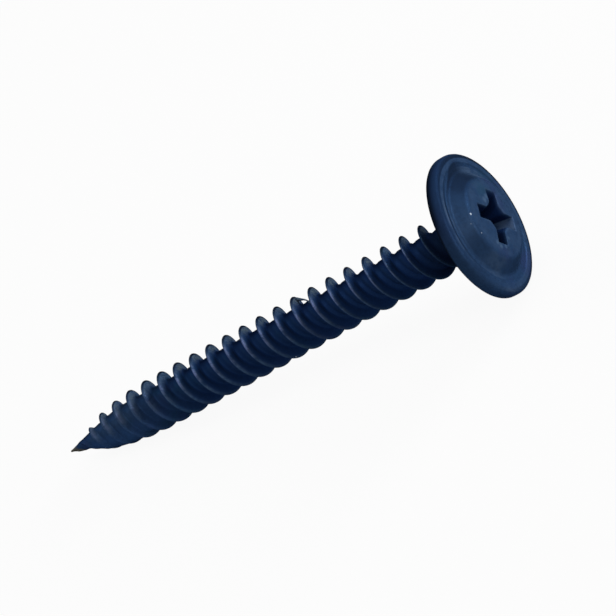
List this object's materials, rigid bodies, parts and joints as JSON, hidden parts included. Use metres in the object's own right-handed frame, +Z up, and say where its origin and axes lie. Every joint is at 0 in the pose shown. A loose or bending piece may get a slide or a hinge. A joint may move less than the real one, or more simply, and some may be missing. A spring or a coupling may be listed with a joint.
{
  "type": "wafer head sheet metal screw",
  "caption": "Wafer head sheet metal screw with a wide thin rimmed head, a raised boss with a cross recess, a fully threaded right-hand shank and a gimlet point.",
  "frame": {"origin": "centre of the bounding box at ground height", "axes": "+X towards the head and -X towards the point, +Z up from the surface the screw lies on; the screw's axis lies in the XZ plane and dips towards the point by 5.80 degrees"},
  "size_m": [0.0432, 0.0108, 0.0108],
  "materials": {
    "screw": "blue-black coated steel, semi-gloss, worn to bare metal at the tip"
  },
  "bodies": {
    "root": {"screw": "screw"}
  },
  "joints": []
}
